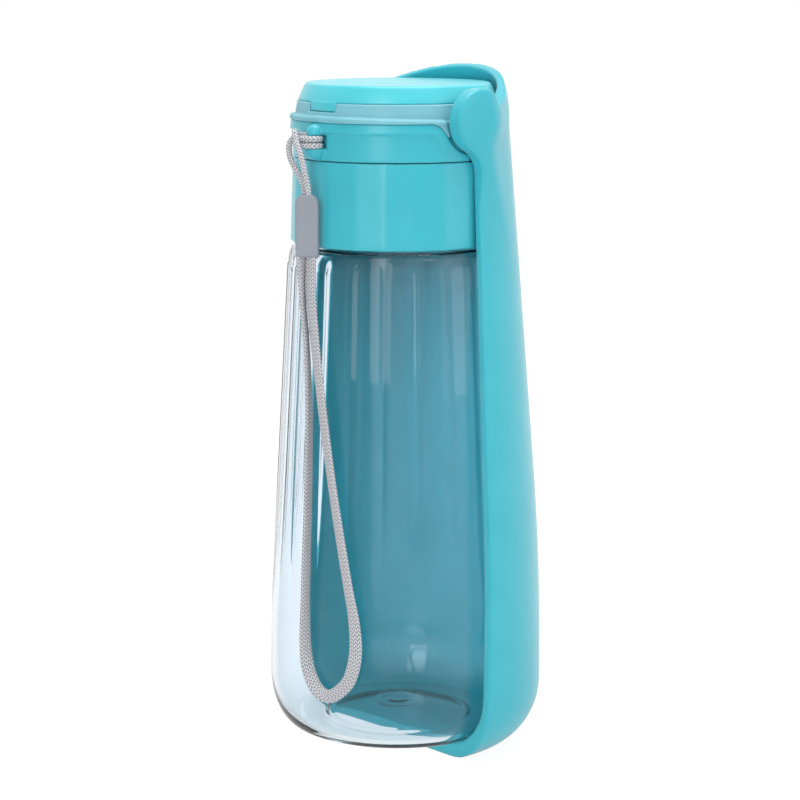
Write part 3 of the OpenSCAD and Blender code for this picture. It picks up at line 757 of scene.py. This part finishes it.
teal = plastic("teal_moulding", (66, 190, 204), (62, 186, 200), 0.3, sheen=0.16)
# Painted light: the lid gets a lighter copy of the same teal, standing in for the light that falls on its
# top from above.
lid_teal_painted_lighter = plastic("teal_lid_painted_lighter", (84, 206, 217), (80, 202, 213), 0.3, sheen=0.16)
white = plastic("white_moulding", (222, 226, 228), (216, 221, 224), 0.4)
grey = plastic("grey_sleeve", (150, 155, 164), (145, 150, 160), 0.42)
rubber = plastic("seal_rubber", (38, 40, 44), (32, 34, 38), 0.6)

def silicone_look():
    m, tree, shader = material(
        "clear_silicone", Specular_IOR_Level=0.45, Subsurface_Weight=0.35, Subsurface_Scale=0.002)
    shader.inputs["Subsurface Radius"].default_value = (1.0, 1.0, 1.0)
    mottle(tree, shader, 90, (126, 190, 202), (133, 196, 208))
    tree.links.new(remap(tree, noise(tree, 500, 3), 0.42, 0.56), shader.inputs["Roughness"])
    bump(tree, shader, noise(tree, 1800, 2), 0.2, 0.00002)
    return m


def steel_look():
    m, tree, shader = material("turned_steel", Metallic=1.0)
    shader.inputs["Base Color"].default_value = (0.6, 0.6, 0.62, 1)
    turned = noise(tree, 900, 3, (20, 1, 1))
    tree.links.new(remap(tree, turned, 0.22, 0.38), shader.inputs["Roughness"])
    return m


class Sum:
    """A number in a node tree, so that a formula can be written as one."""

    def __init__(self, tree, socket):
        self.tree, self.socket = tree, socket

    def step(self, operation, other=None):
        node = self.tree.nodes.new("ShaderNodeMath")
        node.operation = operation
        for i, v in enumerate((self, other)):
            if isinstance(v, Sum):
                self.tree.links.new(v.socket, node.inputs[i])
            elif v is not None:
                node.inputs[i].default_value = v
        return Sum(self.tree, node.outputs[0])

    def __add__(self, v):
        return self.step("ADD", v)

    def __sub__(self, v):
        return self.step("SUBTRACT", v)

    def __mul__(self, v):
        return self.step("MULTIPLY", v)


def plait_height(tree):
    """Herringbone: strands that lean left and right in turn round the cord."""
    coord = tree.nodes.new("ShaderNodeTexCoord")
    parts = tree.nodes.new("ShaderNodeSeparateXYZ")
    tree.links.new(coord.outputs["UV"], parts.inputs[0])
    u, v = Sum(tree, parts.outputs[0]), Sum(tree, parts.outputs[1])
    across = u.step("FRACT") * 2 - 1
    turn = ((u * 0.5).step("FRACT") * 2).step("FLOOR") * 2 - 1
    along = (v + across * turn * 0.42).step("FRACT") * 2 - 1
    round_off = (along * along * -1 + 1) * (across * across * -0.55 + 1)
    return round_off.step("MAXIMUM", 0).step("SQRT").socket


def braid_look():
    m, tree, shader = material(
        "braided_polyester", Roughness=0.75, Sheen_Weight=0.2, Specular_IOR_Level=0.3)
    height = plait_height(tree)
    # Painted shade: the colour darkens with the plait's height, so the gaps between the strands are painted
    # dark and the crowns light.
    light = remap(tree, height, 0, 1, 0.3, 0.95)
    strands = blend_colour(tree, light, srgb(90, 92, 98), srgb(228, 227, 230))
    tree.links.new(strands, shader.inputs["Base Color"])
    bump(tree, shader, height, 0.8, 0.0003)
    return m


def clear_look():
    """Clear plastic that lets light rays straight through. Its thick base takes more light than its wall."""
    m, tree, shader = material("clear_plastic", Transmission_Weight=1.0, IOR=1.35)
    place = tree.nodes.new("ShaderNodeTexCoord")
    parts = tree.nodes.new("ShaderNodeSeparateXYZ")
    tree.links.new(place.outputs["Object"], parts.inputs[0])
    thick = remap(tree, parts.outputs[2], 0, 1, 0.022, 0.0085)
    tint = blend_colour(tree, thick, (0.892, 0.948, 0.998, 1), (0.79, 0.87, 0.915, 1))
    tree.links.new(tint, shader.inputs["Base Color"])
    tree.links.new(remap(tree, noise(tree, 120, 2), 0.0, 0.03), shader.inputs["Roughness"])
    through = tree.nodes.new("ShaderNodeBsdfTransparent")
    through.inputs["Color"].default_value = (0.98, 1.0, 0.99, 1)
    rays = tree.nodes.new("ShaderNodeLightPath")
    mix = tree.nodes.new("ShaderNodeMixShader")
    tree.links.new(rays.outputs["Is Shadow Ray"], mix.inputs[0])
    tree.links.new(shader.outputs[0], mix.inputs[1])
    tree.links.new(through.outputs[0], mix.inputs[2])
    tree.links.new(mix.outputs[0], tree.nodes["Material Output"].inputs["Surface"])
    return m


silicone, steel, braided, clear = silicone_look(), steel_look(), braid_look(), clear_look()
LOOKS = {
    "drinking_trough": (trough, teal, "teal_plastic"), "head_shell": (cap, teal, "teal_plastic"),
    "silicone_band": (lip, silicone, "silicone"), "pull_lid": (lid, lid_teal_painted_lighter, "teal_plastic"),
    "ring_nut": (collar, teal, "teal_plastic"), "clear_bottle": (bottle, clear, "clear_plastic"),
    "cord": (cord, braided, "braid"), "strap": (strap, braided, "braid"),
    "sleeve": (sleeve, grey, "grey_plastic"),
}
for obj, look, slot_name in LOOKS.values():
    obj.data.materials.append(look)
INNER_LOOKS = {
    "neck_gasket": rubber, "spout_insert": white, "hinge_pin_right": steel, "hinge_pin_left": steel,
    "lid_stem": white, "lid_oring": rubber, "stem_clip": white,
}
for node, look in INNER_LOOKS.items():
    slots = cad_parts[node].data.materials
    slots.clear()
    slots.append(look)

# ---- floor, light and camera ----
AWAY = (-0.743, 0.669, 0.0)  # from the object to the backdrop


def backdrop(tree, place, near, far):
    """Where the white backdrop is seen, and how bright.

    It is full white straight or through glass. In a gloss it is white behind the object and darker
    in front, as in a studio. It doesn't light a dull surface.
    """
    rays = tree.nodes.new("ShaderNodeLightPath")
    names = ("Is Camera Ray", "Is Glossy Ray", "Is Transmission Ray", "Diffuse Depth")
    seen, glossy, inside, dull = (Sum(tree, rays.outputs[k]) for k in names)
    coord = tree.nodes.new("ShaderNodeTexCoord")
    dot = tree.nodes.new("ShaderNodeVectorMath")
    dot.operation = "DOT_PRODUCT"
    dot.inputs[1].default_value = AWAY
    tree.links.new(coord.outputs[place], dot.inputs[0])
    behind = remap(tree, dot.outputs["Value"], 0.3, 1.0, near, far)
    straight = seen.step("MAXIMUM", inside)
    where = straight.step("MAXIMUM", glossy) * dull.step("LESS_THAN", 0.5)
    return where, straight.step("MAXIMUM", Sum(tree, behind))


def emit_when_seen(tree, shader, strength, share):
    """Mixes the backdrop's white into the floor's shader."""
    where, bright = backdrop(tree, "Object", -0.2, 0.15)
    glow = tree.nodes.new("ShaderNodeEmission")
    tree.links.new((bright * strength).socket, glow.inputs["Strength"])
    join = tree.nodes.new("ShaderNodeMixShader")
    tree.links.new((where * share).socket, join.inputs[0])
    tree.links.new(shader, join.inputs[1])
    tree.links.new(glow.outputs[0], join.inputs[2])
    return join.outputs[0]


def light_world():
    world = bpy.data.worlds.new("studio")
    bpy.context.scene.world = world
    world.use_nodes = True
    tree = world.node_tree
    back = tree.nodes["Background"]
    back.inputs["Color"].default_value = (0.93, 0.96, 1.0, 1)
    back.inputs["Strength"].default_value = 0.46
    white_back = tree.nodes.new("ShaderNodeBackground")
    white_back.inputs["Color"].default_value = (1, 1, 1, 1)
    where, bright = backdrop(tree, "Generated", -0.35, 0.25)
    tree.links.new(bright.socket, white_back.inputs["Strength"])
    join = tree.nodes.new("ShaderNodeMixShader")
    tree.links.new(where.socket, join.inputs[0])
    tree.links.new(back.outputs[0], join.inputs[1])
    tree.links.new(white_back.outputs[0], join.inputs[2])
    tree.links.new(join.outputs[0], tree.nodes["World Output"].inputs["Surface"])


FLOOR_R, FLOOR_Z, FLOOR_SIDES = 3.0, -0.0001, 40  # in metres


def lay_floor():
    turns = [2 * math.pi * k / FLOOR_SIDES for k in range(FLOOR_SIDES)]
    ring = [(FLOOR_R * math.cos(t), FLOOR_R * math.sin(t), FLOOR_Z) for t in turns]
    mesh = bpy.data.meshes.new("floor")
    mesh.from_pydata(ring, [], [list(range(FLOOR_SIDES))])
    floor = bpy.data.objects.new("floor", mesh)
    bpy.context.scene.collection.objects.link(floor)
    look, tree, shader = material("white_floor", Roughness=0.6, Specular_IOR_Level=0.2)
    shader.inputs["Base Color"].default_value = (0.85, 0.86, 0.87, 1)
    seen = emit_when_seen(tree, shader.outputs[0], 1.1, 0.85)
    tree.links.new(seen, tree.nodes["Material Output"].inputs["Surface"])
    mesh.materials.append(look)


def lamp(name, place, target, size, power, colour=(1, 1, 1)):
    light = bpy.data.lights.new(name, "AREA")
    light.shape = "RECTANGLE"
    light.size, light.size_y = size
    light.energy = power
    light.color = colour
    obj = bpy.data.objects.new(name, light)
    bpy.context.scene.collection.objects.link(obj)
    obj.location = place
    obj.rotation_euler = (Vector(target) - Vector(place)).to_track_quat("-Z", "Y").to_euler()


def place_camera(place, target):
    data = bpy.data.cameras.new("camera")
    data.lens = 108
    data.sensor_width = 36
    cam = bpy.data.objects.new("camera", data)
    bpy.context.scene.collection.objects.link(cam)
    cam.location = place
    cam.rotation_euler = (Vector(target) - Vector(cam.location)).to_track_quat("-Z", "Y").to_euler()
    bpy.context.scene.camera = cam


light_world()
lay_floor()
lamp("key", (0.56, -1.05, 0.55), (0, 0, 0.1), (0.4, 1.1), 4.9)
lamp("side", (1.15, 0.45, 0.5), (0, 0, 0.12), (0.6, 1.1), 2.8, (0.95, 0.97, 1.0))
lamp("overhead", (0.1, 0.1, 1.3), (0, 0, 0.1), (1.0, 1.0), 12.5)
place_camera((0.5556, -0.5003, 0.2443), (0.0004, 0.0005, 0.1094))
bpy.context.scene.view_settings.view_transform = "Standard"
